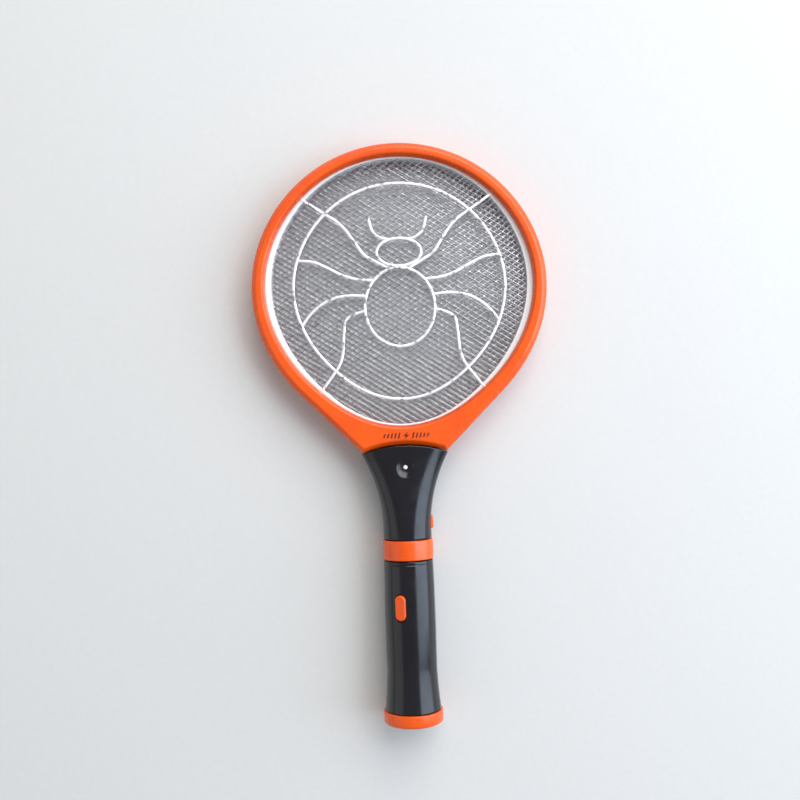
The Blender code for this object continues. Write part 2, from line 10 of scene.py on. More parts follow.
import bpy
import numpy as np
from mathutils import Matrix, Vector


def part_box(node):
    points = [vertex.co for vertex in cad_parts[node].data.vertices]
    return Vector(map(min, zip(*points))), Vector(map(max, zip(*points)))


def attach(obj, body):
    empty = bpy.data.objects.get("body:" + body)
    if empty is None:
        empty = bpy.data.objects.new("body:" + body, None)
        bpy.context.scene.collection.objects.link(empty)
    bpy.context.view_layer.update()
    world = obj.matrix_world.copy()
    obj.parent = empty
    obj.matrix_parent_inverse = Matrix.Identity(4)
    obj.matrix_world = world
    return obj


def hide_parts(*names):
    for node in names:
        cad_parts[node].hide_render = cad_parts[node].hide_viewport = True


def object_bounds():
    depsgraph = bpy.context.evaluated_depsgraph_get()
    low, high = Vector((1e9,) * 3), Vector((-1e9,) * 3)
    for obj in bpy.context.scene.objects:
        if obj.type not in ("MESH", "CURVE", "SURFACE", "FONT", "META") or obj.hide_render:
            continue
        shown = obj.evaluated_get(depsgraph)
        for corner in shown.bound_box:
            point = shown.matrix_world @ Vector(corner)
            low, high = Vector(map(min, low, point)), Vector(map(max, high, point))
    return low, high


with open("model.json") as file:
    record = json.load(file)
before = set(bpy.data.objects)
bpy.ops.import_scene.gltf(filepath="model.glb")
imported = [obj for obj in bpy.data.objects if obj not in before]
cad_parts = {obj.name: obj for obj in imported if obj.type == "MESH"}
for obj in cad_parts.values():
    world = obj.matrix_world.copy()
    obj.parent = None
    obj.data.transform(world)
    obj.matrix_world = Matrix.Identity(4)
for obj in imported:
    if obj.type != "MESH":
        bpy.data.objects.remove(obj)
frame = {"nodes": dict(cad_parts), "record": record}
cad_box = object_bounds()

MM = 0.001
TAIL = cad_box[0][1] / MM
AXIS = (cad_box[0][2] + cad_box[1][2]) / 2 / MM
TORCH_TURN = math.radians(-22.5)
SHARP_ANGLE = math.radians(35)

# Left between mouldings that meet.
GAP = 0.3

# A noise lies mostly between these.
NOISE_RANGE = (0.3, 0.7)

# The head, in millimetres, as the parts have it.
HEAD_Y = 308.0
OPENING_RADIUS = 96.4
OPENING_DIP = 5.2
HEAD_RADIUS = 106.0
OUTER_DIP = 3.0
SHOULDER_REACH = 103.0
NECK_ARC_RADIUS = 92.0
NECK_ARC_Y = HEAD_Y - 202.5
FRAME_TOP = 12.0
FRAME_WALL = 2.0
FRAME_ROOF = 9.6
LIP_WALL = 3.4
LIP_UNDERSIDE = 5.7
RIM_WIDTH = HEAD_RADIUS - OPENING_RADIUS
RIM_SHOULDER = 3.6
FRAME_SCREWS = ((-20.0, 202.3), (20.0, 202.3))

# How far the ring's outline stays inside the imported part's.
SKIN = 0.06

# The spacer rings between the sheets, and the sheets themselves.
SPACER = (0.6, 6.2)
SPACER_Z = (0.8, 4.3)
GUARD_Z = 5.0
SHEET_THICKNESS = 0.48
STRAND_LEAN = 0.22
BORDER_WIDTH = 5.3
# The border reaches this far inside the opening, then this much further at the sides; the pale band is
# widened there as a painted highlight.
BORDER_INSIDE = (1.0, 2.9)

# Neck, collar and torch.
SHELL_WALL = 2.0
NECK_START = 130.7
NECK_END = NECK_ARC_Y + NECK_ARC_RADIUS - GAP
NECK_RADIUS = 17.2
NECK_WAIST_Y = 138.9
NECK_FLARE = 0.00495
NECK_END_HEIGHT = 13.4
NECK_END_POWER = 3.0
NECK_SCREWS = ((-16.0, 180.0), (16.0, 180.0))
COLLAR = (116.2, 130.1)
COLLAR_RADIUS = 18.1
COLLAR_BORE = 14.3
SPIGOT_RADIUS = 14.0
SPIGOT_BORE = 12.0
NECK_SPIGOT_Y = 122.5
GRIP_SPIGOT_Y = 121.5
BORE_SLOPE = 0.45
GRIP = (9.3, 115.6)
GRIP_RADIUS = 18.05
GRIP_WALL = 1.8
GRIP_SCREW = (0.0, 106.0)
BEZEL_SEAT_Y = 6.6
BEZEL_SEAT_RADIUS = 18.8
BEZEL_SEAT_BORE = 17.3
LED_Y = 181.8
LED_HOLE = 1.8
DISH_RADIUS = 6.5
DISH_DEPTH = 1.6
BUTTON_Y = 83.5
SWITCH_Y = 142.0
SWITCH_TRAVEL = 5.0
KNOB_HALF_LENGTH = 4.5
KNOB_HALF_HEIGHT = 3.5

# Where screws lie behind the middle plane: the floor of the well, the head's seat and its face.
WELL_FLOOR = -7.0
SCREW_SEAT = -7.3
SCREW_FACE = -8.9


# ---------------------------------------------------------------- meshes


def place(points, turn):
    """Metres in the row frame from local millimetres, turned about the handle's axis first."""
    x, y, z = np.moveaxis(np.asarray(points, float), -1, 0)
    c, s = math.cos(turn), math.sin(turn)
    return np.stack([x * c + z * s, y + TAIL, z * c - x * s + AXIS], -1) * MM


def grid(points, wrap_rows=False, wrap_columns=False):
    """A surface over a grid of points: (points, triangles), two triangles for each cell."""
    rows, columns = points.shape[:2]
    r, c = np.meshgrid(
        np.arange(rows if wrap_rows else rows - 1),
        np.arange(columns if wrap_columns else columns - 1),
        indexing="ij",
    )
    r2, c2 = (r + 1) % rows, (c + 1) % columns
    corners = [a * columns + b for a, b in ((r, c), (r, c2), (r2, c2), (r2, c))]
    a, b, d, e = [corner.ravel() for corner in corners]
    faces = np.concatenate([np.stack([a, b, d], -1), np.stack([a, d, e], -1)])
    return points.reshape(-1, 3), faces


def welded(points, faces):
    """The surface with points in the same place made one, no flat triangles or loose points, and
    its faces outwards."""
    _, first, index = np.unique(
        np.round(points, 4), axis=0, return_index=True, return_inverse=True
    )
    faces = index.reshape(-1)[faces]
    a, b, c = faces.T
    faces = faces[(a != b) & (b != c) & (c != a)]
    used, faces = np.unique(faces, return_inverse=True)
    points, faces = points[first][used], faces.reshape(-1, 3)
    corners = points[faces]
    volume = np.einsum("ij,ij->", corners[:, 0], np.cross(corners[:, 1], corners[:, 2]))
    return points, faces if volume > 0 else faces[:, ::-1]


def solid(name, surfaces, turn=0.0):
    """One object from closed surfaces, with its place in its mesh."""
    made = [welded(*surface) for surface in surfaces]
    starts = np.cumsum([0] + [len(points) for points, _ in made[:-1]])
    points = place(np.concatenate([points for points, _ in made]), turn)
    faces = np.concatenate([faces + start for (_, faces), start in zip(made, starts)])
    mesh = bpy.data.meshes.new(name)
    mesh.vertices.add(len(points))
    mesh.vertices.foreach_set("co", points.astype(np.float32).ravel())
    mesh.loops.add(faces.size)
    mesh.loops.foreach_set("vertex_index", faces.astype(np.int32).ravel())
    mesh.polygons.add(len(faces))
    mesh.polygons.foreach_set("loop_start", np.arange(0, faces.size, 3, dtype=np.int32))
    mesh.update(calc_edges=True)
    mesh.validate()
    mesh.shade_smooth()
    mesh.set_sharp_from_angle(angle=SHARP_ANGLE)
    obj = bpy.data.objects.new(name, mesh)
    bpy.context.scene.collection.objects.link(obj)
    return obj


def piece(name, surfaces, finish, body, replaces=(), turn=0.0):
    """A solid with its finish, riding on a body and standing for CAD nodes."""
    obj = solid(name, surfaces, turn)
    obj.data.materials.append(finish)
    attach(obj, body)
    if replaces:
        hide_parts(*replaces)
    return obj


def carve(obj, cutters, turn=0.0):
    """Cuts closed surfaces out of a finished piece, and leaves it a plain mesh again."""
    for cutter in cutters:
        tool = solid("cutter", [cutter], turn)
        cut = obj.modifiers.new("cut", "BOOLEAN")
        cut.object = tool
        bpy.context.view_layer.update()
        graph = bpy.context.evaluated_depsgraph_get()
        mesh = bpy.data.meshes.new_from_object(obj.evaluated_get(graph))
        obj.modifiers.clear()
        obj.data = mesh
        bpy.data.objects.remove(tool)
    obj.data.shade_smooth()
    obj.data.set_sharp_from_angle(angle=SHARP_ANGLE)


def rounded(corners, closed=True, steps=6):
    """An outline through (x, y, radius) corners, each corner an arc of its radius."""
    outline = []
    for i, (x, y, radius) in enumerate(corners):
        here = np.array([x, y], float)
        at_end = not closed and i in (0, len(corners) - 1)
        if radius == 0 or at_end:
            outline.append(here[None])
            continue
        sides = [np.array(corners[j % len(corners)][:2]) - here for j in (i - 1, i + 1)]
        before, after = [side / np.linalg.norm(side) for side in sides]
        half = math.acos(np.clip(before @ after, -1, 1)) / 2
        centre = here + (before + after) / np.linalg.norm(before + after) * radius / math.sin(half)
        start, end = [here + side * radius / math.tan(half) - centre for side in (before, after)]
        first = math.atan2(start[1], start[0])
        sweep = (math.atan2(end[1], end[0]) - first + math.pi) % (2 * math.pi) - math.pi
        angles = first + sweep * np.linspace(0, 1, steps + 1)
        outline.append(centre + radius * np.stack([np.cos(angles), np.sin(angles)], -1))
    return np.concatenate(outline)


def lathe(profile, centre=(0, 0, 0), axis="y", segments=128):
    """A surface of revolution: profile is (radius, distance along the axis) points."""
    profile = np.asarray(profile, float)
    closed = profile[0, 0] > 0
    angle = np.linspace(0, 2 * math.pi, segments, endpoint=False)[:, None]
    across, up = profile[:, 0] * np.cos(angle), profile[:, 0] * np.sin(angle)
    along = np.broadcast_to(profile[:, 1], across.shape)
    order = (across, along, up) if axis == "y" else (across, up, along)
    return grid(np.stack(order, -1) + centre, wrap_rows=True, wrap_columns=closed)


def oval(width, length):
    """The outline of a slot with round ends, its length along y: two half circles moved apart."""
    angle = np.linspace(0, 2 * math.pi, 96, endpoint=False)
    shift = np.where(np.sin(angle) >= 0, 1, -1) * (length - width) / 2
    return np.stack([width / 2 * np.cos(angle), width / 2 * np.sin(angle) + shift], -1)


def capped(rows):
    """Rows of points with one more row at each end, shrunk to that end's middle."""
    ends = [np.broadcast_to(row.mean(axis=0), row.shape)[None] for row in (rows[0], rows[-1])]
    return np.concatenate([ends[0], rows, ends[1]])


def stack(outlines, heights, centre=(0, 0, 0)):
    """A body through flat outlines at rising heights, closed at both ends."""
    rows = [np.column_stack([o, np.full(len(o), h)]) for o, h in zip(outlines, heights)]
    return grid(capped(np.stack(rows)) + centre, wrap_columns=True)


def box_surface(low, high):
    """A plain box between two corners."""
    (x0, y0, z0), (x1, y1, z1) = low, high
    outline = np.array([(x0, y0), (x1, y0), (x1, y1), (x0, y1)])
    return stack([outline, outline], [z0, z1])


# ---------------------------------------------------------------- outline of the head


def ease(share):
    """1 at share 0 and 0 at share 1, level at both ends."""
    return 0.5 + 0.5 * np.cos(math.pi * np.clip(share, 0, 1))


def side_dip(angle):
    """How far the lower diagonals pull in, as a share; the angle is from straight down the handle."""
    degrees = np.degrees(np.abs(angle))
    return np.where(degrees < 45, ease((45 - degrees) / 45), ease((degrees - 45) / 60))


def opening_radius(angle):
    """The opening's edge, from the head's middle: a circle but for the dips."""
    return OPENING_RADIUS - OPENING_DIP * side_dip(angle)


def outer_radius(angle):
    """The neck's arc, a 45 degree shoulder each side of it, then the ring, with a soft corner."""
    drop = HEAD_Y - NECK_ARC_Y
    corner, far = 0.5, 1000.0
    reach = drop * np.cos(angle)
    under = reach**2 - drop**2 + NECK_ARC_RADIUS**2
    arc = np.where(under > 0, reach - np.sqrt(np.maximum(under, 0)), far)
    shoulder = SHOULDER_REACH / np.cos(math.pi / 4 - np.abs(angle).clip(0, math.pi / 2))
    gap = np.abs(arc - shoulder)
    lower = np.minimum(arc, shoulder) - np.maximum(corner - gap, 0) ** 2 / (4 * corner)
    ring = HEAD_RADIUS - SKIN - OUTER_DIP * side_dip(angle)
    return np.where(np.abs(angle) < math.pi / 4, lower, ring)


def head_angles(count):
    """Even stations round the head, with finer ones about the shoulders' corners."""
    even = np.linspace(-math.pi, math.pi, count, endpoint=False)
    corner = math.radians(14.4)
    fine = np.linspace(-0.03, 0.03, 25)
    return np.unique(np.concatenate([even, fine - corner, fine + corner]))


def around_head(angle, radius, z):
    """Points round the head from polar ones: all three are arrays of one shape."""
    return np.stack([radius * np.sin(angle), HEAD_Y - radius * np.cos(angle), z], -1)


# ---------------------------------------------------------------- head


def frame_half(side):
    """A rounded rim swept round the opening.

    The section is hollow and rounded, and its inner wall slopes down on to the guard. Its inner half
    keeps its distance from the opening and its outer half from the outline, so the band between them
    widens into the shoulders. The parting edge steps back at the bottom, where the leads pass.
    """
    wall = RIM_WIDTH - FRAME_WALL
    profile = rounded(
        [
            (0, LIP_UNDERSIDE, 0.2),
            (0, LIP_UNDERSIDE + 0.8, 0.6),
            (1.5, FRAME_TOP, 1.9),
            (RIM_WIDTH - RIM_SHOULDER, FRAME_TOP, 2.0),
            (RIM_WIDTH, FRAME_TOP - 3.4, 4.0),
            (RIM_WIDTH, GAP / 2, 0.5),
            (wall, GAP / 2, 0.3),
            (wall, FRAME_ROOF, 0.3),
            (LIP_WALL, FRAME_ROOF, 0.3),
            (LIP_WALL, LIP_UNDERSIDE, 0.2),
        ],
        steps=8,
    )
    angle = head_angles(540)[:, None]
    inner, outer = opening_radius(angle), outer_radius(angle)
    across, z = profile.T
    radius = np.where(across < RIM_WIDTH / 2, inner + across, outer - (RIM_WIDTH - across))
    lead_half, lead_depth, edge_height = math.radians(4), 2.05, 1.5
    step = lead_depth * ease((np.abs(angle) - lead_half) / lead_half)
    z = z + step * (z < edge_height)
    return grid(around_head(np.broadcast_to(angle, radius.shape), radius, side * z), True, True)


def rim_edge(angle):
    """Where a mesh turns into its plain border: broader at the sides than at the top and bottom, so that
    the near-white border paints a highlight that is widest at the sides.
    """
    return opening_radius(angle) - BORDER_INSIDE[0] - BORDER_INSIDE[1] * np.sin(angle) ** 2


def band(start, end, low, high, edge=0.2, border=False):
    """A flat ring that follows the opening, from start to end beyond its edge.

    A border starts at the mesh's own edge instead.
    """
    corners = [(start, low, edge), (end, low, edge), (end, high, edge), (start, high, edge)]
    profile = rounded(corners, steps=3)
    angle = head_angles(360)[:, None]
    across = np.broadcast_to(profile[:, 0], (len(angle), len(profile)))
    radius = opening_radius(angle) + across
    if border:
        radius = np.where(across < (start + end) / 2, rim_edge(angle) + across - start, radius)
    z = np.broadcast_to(profile[:, 1], radius.shape)
    return grid(around_head(np.broadcast_to(angle, radius.shape), radius, z), True, True)


def expanded_mesh(z, lean, shift=(0.0, 0.0)):
    """Expanded metal: zigzag strands side by side, each joined to the next along its knuckles.

    At column i, strand k is at height k or k + 1 half diamonds, whichever makes i and k even, moved
    half a strand back so that two strands meet edge to edge, and it runs level for a knuckle's
    length there. Each strand is a leaning flat bar, and it stops just under the border.
    """
    long_way, short_way, knuckle, strand, thickness = 6.2, 4.0, 0.9, 0.44, 0.36
    half = int(HEAD_RADIUS / (long_way / 2))
    column = np.arange(-2 * half, 2 * half + 2)
    rows = np.arange(-int(HEAD_RADIUS / (short_way / 2)), int(HEAD_RADIUS / (short_way / 2)) + 1)
    k, i = np.meshgrid(rows, column // 2, indexing="ij")
    odd = (k + i) % 2
    x = i * long_way / 2 + (column % 2 - 0.5) * knuckle + shift[0]
    y = (k + odd) * short_way / 2 + np.where(odd, -1, 1) * strand / 2 + shift[1]
    inside = np.hypot(x, y) < rim_edge(np.arctan2(x, -y)) + 0.5
    section = np.array([(-1, -1), (1, -1), (1, 1), (-1, 1)]) / 2
    dy = section[:, 0] * strand
    dz = section[:, 1] * thickness + lean * dy
    shape = (*x.shape, 4)
    across = np.broadcast_to(x[..., None], shape)
    points = np.stack([across, HEAD_Y + y[..., None] + dy, np.broadcast_to(z + dz, shape)], -1)
    base = (np.arange(x.size) * 4).reshape(x.shape)
    joined = inside[:, :-1] & inside[:, 1:]
    here, after = base[:, :-1][joined], base[:, 1:][joined]
    faces = []
    for first, second in ((0, 1), (1, 2), (2, 3), (3, 0)):
        faces.append(np.stack([here + first, after + first, after + second], -1))
        faces.append(np.stack([here + first, after + second, here + second], -1))
    padded = np.pad(joined, ((0, 0), (1, 1)))
    starts, ends = padded[:, 1:] & ~padded[:, :-1], padded[:, :-1] & ~padded[:, 1:]
    for at, order in ((base[starts], (0, 1, 2, 3)), (base[ends], (3, 2, 1, 0))):
        p, q, r, s = [at + corner for corner in order]
        faces += [np.stack([p, q, r], -1), np.stack([p, r, s], -1)]
    return points.reshape(-1, 3), np.concatenate(faces)


def smooth_path(corners):
    """A Catmull-Rom curve through (x, y) corners, sampled about evenly."""
    spacing = 0.8
    p = np.asarray(corners, float)
    p = np.concatenate([2 * p[:1] - p[1:2], p, 2 * p[-1:] - p[-2:-1]])
    runs = []
    for a, b, c, d in zip(p, p[1:], p[2:], p[3:]):
        count = max(int(np.linalg.norm(c - b) / spacing), 2)
        t = np.linspace(0, 1, count, endpoint=False)[:, None]
        square, cube = 2 * a - 5 * b + 4 * c - d, 3 * b - a - 3 * c + d
        runs.append(0.5 * (2 * b + (c - a) * t + square * t**2 + cube * t**3))
    return np.concatenate([*runs, p[-2:-1]])


def bead(path, z, width, height, closed=False):
    """A rounded bead along a flat path: half an ellipse over a flat underside."""
    ahead = np.roll(path, -1, axis=0) - np.roll(path, 1, axis=0)
    if not closed:
        ahead[0], ahead[-1] = path[1] - path[0], path[-1] - path[-2]
    ahead /= np.linalg.norm(ahead, axis=1)[:, None]
    normal = np.stack([-ahead[:, 1], ahead[:, 0]], -1)
    root = 0.3
    angle = np.linspace(0, math.pi, 9)
    across = np.append(width / 2 * np.cos(angle), [-width / 2, width / 2])
    up = np.append(height * np.sin(angle), [-root, -root])
    flat = path[:, None] + normal[:, None] * across[:, None]
    points = np.dstack([flat[..., 0], HEAD_Y + flat[..., 1], np.broadcast_to(z + up, flat.shape[:2])])
    return grid(points if closed else capped(points), wrap_rows=closed, wrap_columns=True)


# The pressed pattern: its right side, in millimetres from its middle. The first two legs run out to
# the ring and on to the rim, the next two end at the ring, and the last curve is a feeler.
PATTERN_CENTRE = np.array([0.1, 1.1])
PATTERN_LIFT = 0.15
RING_RADIUS = 77.6
RING_DIP = 3.6
RING_SQUEEZE = 1.2
RING_DROP = 1.1
LEGS = (
    (
        (8.2, 15.4), (17.8, 21.2), (25.0, 25.9), (30.9, 34.5),
        (37.6, 44.1), (44.1, 50.5), (51.3, 55.3), (68.3, 66.7),
    ),
    (
        (24.8, -14.7), (32.2, -16.9), (38.9, -21.2), (40.7, -30.5),
        (41.8, -43.7), (44.0, -51.8), (48.4, -58.8), (60.0, -74.0),
    ),
    ((19.4, 7.0), (30.6, 8.1), (41.2, 11.6), (51.7, 17.2), (61.5, 21.5), (73.0, 22.9)),
    ((24.6, -4.2), (35.9, -3.5), (46.4, -4.9), (55.7, -9.0), (63.8, -15.6), (70.8, -24.4)),
    ((6.4, 35.8), (12.7, 37.7), (18.0, 42.2), (20.8, 52.0)),
)
BODY = ((0.0, -12.6), (25.1, 28.3))
FACE = ((0.5, 26.8), (16.0, 10.0))


def ellipse(centre, radii):
    """Points round an ellipse."""
    angle = np.linspace(0, 2 * math.pi, 180, endpoint=False)
    return np.stack([centre[0] + radii[0] * np.cos(angle), centre[1] + radii[1] * np.sin(angle)], -1)


def spider_relief():
    """Pressed beads: a ring that echoes the opening, two ellipses and mirrored curves for legs."""
    top, width, height = GUARD_Z + PATTERN_LIFT, 2.0, 0.45
    angle = np.linspace(-math.pi, math.pi, 360, endpoint=False)
    radius = RING_RADIUS - RING_DIP * side_dip(angle) - RING_SQUEEZE * np.sin(angle) ** 2
    ring = np.stack([radius * np.sin(angle), -radius * np.cos(angle) - RING_DROP], -1)
    loops = [ring, ellipse(*BODY), ellipse(*FACE)]
    surfaces = [bead(loop + PATTERN_CENTRE, top, width, height, closed=True) for loop in loops]
    for leg in LEGS:
        for side in (1, -1):
            path = smooth_path(leg) * (side, 1) + PATTERN_CENTRE
            surfaces.append(bead(path, top, width, height))
    return surfaces


def shoulder_mark():
    """A small printed mark on the front shoulder: a lightning bolt between two rows of slanted bars."""
    middle, low, ink = (1.4, HEAD_Y - 103.7, 0), FRAME_TOP + 0.005, 0.05
    bolt = np.array([(1.2, 2.6), (-2.3, -0.4), (-0.3, -0.4), (-1.2, -2.6), (2.3, 0.4), (0.3, 0.4)])
    slant = np.array([(-1.05, -1), (0.05, -1), (1.05, 1), (-0.05, 1)])
    first_bar, pitch, half_height, shrink = 5.0, 2.6, 2.1, 0.2
    marks = [bolt]
    for side in (-1, 1):
        for number in range(5):
            size = (1.0, half_height - shrink * number)
            marks.append(slant * size + (side * (first_bar + pitch * number), 0))
    return [stack([mark, mark], [low, low + ink], middle) for mark in marks]


def screw_well(x, y):
    """The stepped hole that a screw goes in by, from behind: wide for its head, then for its shank."""
    head, shank, back, front = 3.1, 1.45, -40, 1
    wide = [(0, back), (head, back), (head, WELL_FLOOR)]
    narrow = [(shank, WELL_FLOOR), (shank, front), (0, front)]
    return lathe(wide + narrow, (x, y, 0), "z", 48)


def screw(x, y):
    """A round-edged head on a plain shank with a blunt point."""
    head, shank, shank_end, point = 2.5, 1.15, 4.2, 5.1
    profile = [
        (0, SCREW_FACE, 0),
        (head, SCREW_FACE, 0.9),
        (head, SCREW_SEAT, 0.1),
        (shank, SCREW_SEAT, 0),
        (shank, shank_end, 0.2),
        (0, point, 0),
    ]
    return lathe(rounded(profile, closed=False), (x, y, 0), "z", 48)


def cross_recess(x, y):
    """Two crossed slots in the face of a screw's head."""
    arm, half, depth, spare = 1.35, 0.32, 1.0, 0.6
    return [
        box_surface((x - a, y - b, SCREW_FACE - spare), (x + a, y + b, SCREW_FACE + depth))
        for a, b in ((arm, half), (half, arm))
    ]


# ---------------------------------------------------------------- neck and grip


def half_angles():
    """0 to 180 degrees, closer together at the parting line so that its edge can be rounded."""
    near = np.radians([0, 0.15, 0.35, 0.6, 1.0, 1.6, 2.6])
    return np.concatenate([near, np.linspace(0, math.pi, 85)[2:-2], math.pi - near[::-1]])


def half_shell(y, outer, inner, side, power=2.0, bow=0.0):
    """Half of a tube with a superellipse section, over its outside and back along its inside.

    At each angle, x is the half width times the cosine and z the half height times the sine, both
    to the power 2 / power. y, outer, inner, power and bow have one value for each row, and outer and
    inner are each a half width and a half height. bow is how fully a row follows the arc against the
    head. The outer edge at the parting line is rounded.
    """
    edge = 0.3
    y = np.asarray(y, float)[:, None]
    power, bow = [np.broadcast_to(v, y.shape[0])[:, None] for v in (power, bow)]
    angle = half_angles()
    arc = NECK_ARC_RADIUS - GAP
    halves = []
    for (width, height), backward in ((outer, False), (inner, True)):
        width, height = [np.broadcast_to(v, y.shape[0])[:, None] for v in (width, height)]
        turned = angle[::-1] if backward else angle
        across = np.sign(np.cos(turned)) * np.abs(np.cos(turned)) ** (2 / power)
        rise = (height - GAP / 2) * np.maximum(np.sin(turned), 0) ** (2 / power)
        x = width * across
        if not backward:
            missing = np.clip(edge - rise, 0, edge)
            x = x - np.sign(x) * (edge - np.sqrt(edge**2 - missing**2))
        z = side * (GAP / 2 + rise)
        bowed = y - bow * (arc - np.sqrt(arc**2 - np.minimum(x**2, arc**2)))
        halves.append(np.stack([x, bowed, z], -1))
    rows = np.concatenate(halves, axis=1)
    ends = [(row + row[::-1])[None] / 2 for row in (rows[0], rows[-1])]
    return grid(np.concatenate([ends[0], rows, ends[1]]), wrap_columns=True)


def neck_half_width(y):
    """Half the neck's width, which grows as the square of the distance past its waist."""
    return NECK_RADIUS + NECK_FLARE * np.maximum(y - NECK_WAIST_Y, 0) ** 2


def neck_height(y):
    """Half the neck's height, which eases down from the collar to the head."""
    share = (y - NECK_START) / (NECK_END - NECK_START)
    return NECK_END_HEIGHT + (NECK_RADIUS - NECK_END_HEIGHT) * ease(share)


def shell_bore(depth):
    """The widest a shell's inside may be at a depth past its spigot, which leaves the end thick."""
    return SPIGOT_BORE + GAP + BORE_SLOPE * np.maximum(depth, 0)


def rounded_ends(stations, edge):
    """Stations along a shell with a quarter circle added at each end, and how far each is drawn in."""
    turn = np.linspace(0, math.pi / 2, 7)
    first, last = turn[:-1], turn[1:]
    y = np.concatenate([stations[0] - edge * np.cos(first), stations, stations[-1] + edge * np.sin(last)])
    drawn_in = np.zeros(len(y))
    drawn_in[: len(first)] = edge * (1 - np.sin(first))
    drawn_in[-len(last) :] = edge * (1 - np.cos(last))
    return y, drawn_in


def neck_shell(side):
    """The spigot in the collar, then round at the collar and wide and flat at the head.

    The section's power rises evenly from an ellipse's 2. Each row's width is the one at the place
    where its bowed ends lie, which a few rounds settle.
    """
    edge = 0.7
    y, drawn_in = rounded_ends(np.linspace(NECK_START + edge, NECK_END - edge, 150), edge)
    share = (y - NECK_START) / (NECK_END - NECK_START)
    bow, power = share**2, 2 + (NECK_END_POWER - 2) * share
    arc = NECK_ARC_RADIUS - GAP
    width = neck_half_width(y)
    for _ in range(8):
        width = neck_half_width(y - bow * (arc - np.sqrt(arc**2 - width**2)))
    outer = np.stack([width, neck_height(y)])
    inner = np.minimum(outer - SHELL_WALL, shell_bore(y - NECK_START))
    y = np.concatenate([[NECK_SPIGOT_Y, NECK_START - GAP], y])
    outer = np.concatenate([np.full((2, 2), SPIGOT_RADIUS), outer - drawn_in], axis=1)
    inner = np.concatenate([np.full((2, 2), SPIGOT_BORE), inner], axis=1)
    power, bow = np.concatenate([[2, 2], power]), np.concatenate([[0, 0], bow])
    return half_shell(y, outer, inner, side, power, bow)


def dish_cutter(floor):
    """A ball's cap for the dish with a straight hole through its floor, as one turned shape."""
    hole_depth, spare = 6.0, 3.0
    ball = (DISH_RADIUS**2 + DISH_DEPTH**2) / (2 * DISH_DEPTH)
    radius = np.linspace(LED_HOLE, DISH_RADIUS + spare, 30)
    cap = np.stack([radius, floor + ball - np.sqrt(ball**2 - radius**2)], -1)
    hole = [(0, floor - hole_depth), (LED_HOLE, floor - hole_depth)]
    return lathe(np.concatenate([hole, cap, [(0, cap[-1, 1])]]), (0, LED_Y, 0), "z", 96)


def grip_radius(y):
    """A slight barrel, falling off as a square, that flares to the torch's wide end as a power 1.5."""
    middle, barrel_reach, barrel_fall = 70, 45, 0.45
    flare_start, flare_reach, flare = 40, 30, 2.6
    barrel = GRIP_RADIUS - barrel_fall * ((y - middle) / barrel_reach) ** 2
    return barrel + flare * (np.maximum(flare_start - y, 0) / flare_reach) ** 1.5


def grip_shell(side):
    """The bezel's seat, the flared barrel with a shallow groove under the collar, and the spigot."""
    start, end = GRIP
    edge, groove_y, groove_half, groove_depth = 0.6, end - 2.5, 0.6, 0.18
    even = np.linspace(start + edge, end - edge, 150)
    fine = np.linspace(groove_y - 1, groove_y + 1, 21)
    y, drawn_in = rounded_ends(np.unique(np.concatenate([even, fine])), edge)
    radius = grip_radius(y)
    groove = groove_depth * ease(np.abs(y - groove_y) / groove_half)
    inner = np.minimum(np.minimum(radius - GRIP_WALL, BEZEL_SEAT_BORE), shell_bore(end - y))
    outer = radius - drawn_in - groove
    y = np.concatenate([[BEZEL_SEAT_Y, start - GAP], y, [end + GAP, GRIP_SPIGOT_Y]])
    outer = np.concatenate([[BEZEL_SEAT_RADIUS] * 2, outer, [SPIGOT_RADIUS] * 2])
    inner = np.concatenate([[BEZEL_SEAT_BORE] * 2, inner, [SPIGOT_BORE] * 2])
    return half_shell(y, (outer, outer), (inner, inner), side)


def press_button():
    """An oval with a rounded top edge, a shallow dish in its crown and a flange under the shell."""
    width, length, foot, top = 7.8, 18.0, 12.9, 18.9
    edge, flange, flange_height, dish_width, dish_depth = 1.2, 2.4, 1.5, 2.5, 0.28
    outlines = [oval(width + flange, length + flange)] * 2 + [oval(width, length)]
    heights = [foot, foot + flange_height, foot + flange_height + 0.05]
    for angle in np.linspace(0, math.pi / 2, 9):
        inset = edge * (1 - math.cos(angle))
        outlines.append(oval(width - 2 * inset, length - 2 * inset))
        heights.append(top - edge * (1 - math.sin(angle)))
    for share in np.linspace(0, 1, 12)[1:-1]:
        inset = edge + dish_width * share
        outlines.append(oval(width - 2 * inset, length - 2 * inset))
        heights.append(top - dish_depth * float(1 - ease(share)))
    return stack(outlines, heights, (0, BUTTON_Y, 0))


def button_hole():
    """A cutter a little wider than the button, flared at its mouth into a soft chamfer."""
    width, length, chamfer, mouth = 8.4, 18.6, 1.6, 6
    wider = [oval(width + more, length + more) for more in (chamfer, mouth)]
    return stack([oval(width, length)] * 2 + wider, [9.0, 17.4, 18.15, 20.5], (0, BUTTON_Y, 0))


def switch_knob():
    """A slide knob: a block whose outer face has rounded grip ribs across it."""
    inside, outside, corner = 14.6, 18.8, 0.6
    rib, pitch, ribbed = 0.35, 1.5, 3.8
    along = np.linspace(-KNOB_HALF_LENGTH, KNOB_HALF_LENGTH, 91)
    ribs = rib * (0.5 + 0.5 * np.cos(2 * math.pi * along / pitch)) * (np.abs(along) < ribbed)
    ends = np.clip((KNOB_HALF_LENGTH - np.abs(along)) / corner, 0, 1)
    face = outside - rib + ribs - corner * (1 - np.sqrt(1 - (1 - ends) ** 2))
    upper = np.array([(1, 0.75), (0.93, 0.93), (0.75, 1), (0, 1)])
    section = np.concatenate([upper[::-1] * (1, -1), upper])
    x = inside + (face[:, None] - inside) * section[:, 0]
    y = np.broadcast_to(along[:, None], x.shape) + SWITCH_Y
    z = np.broadcast_to(KNOB_HALF_HEIGHT * section[:, 1], x.shape)
    return grid(capped(np.stack([x, y, z], -1)), wrap_columns=True)


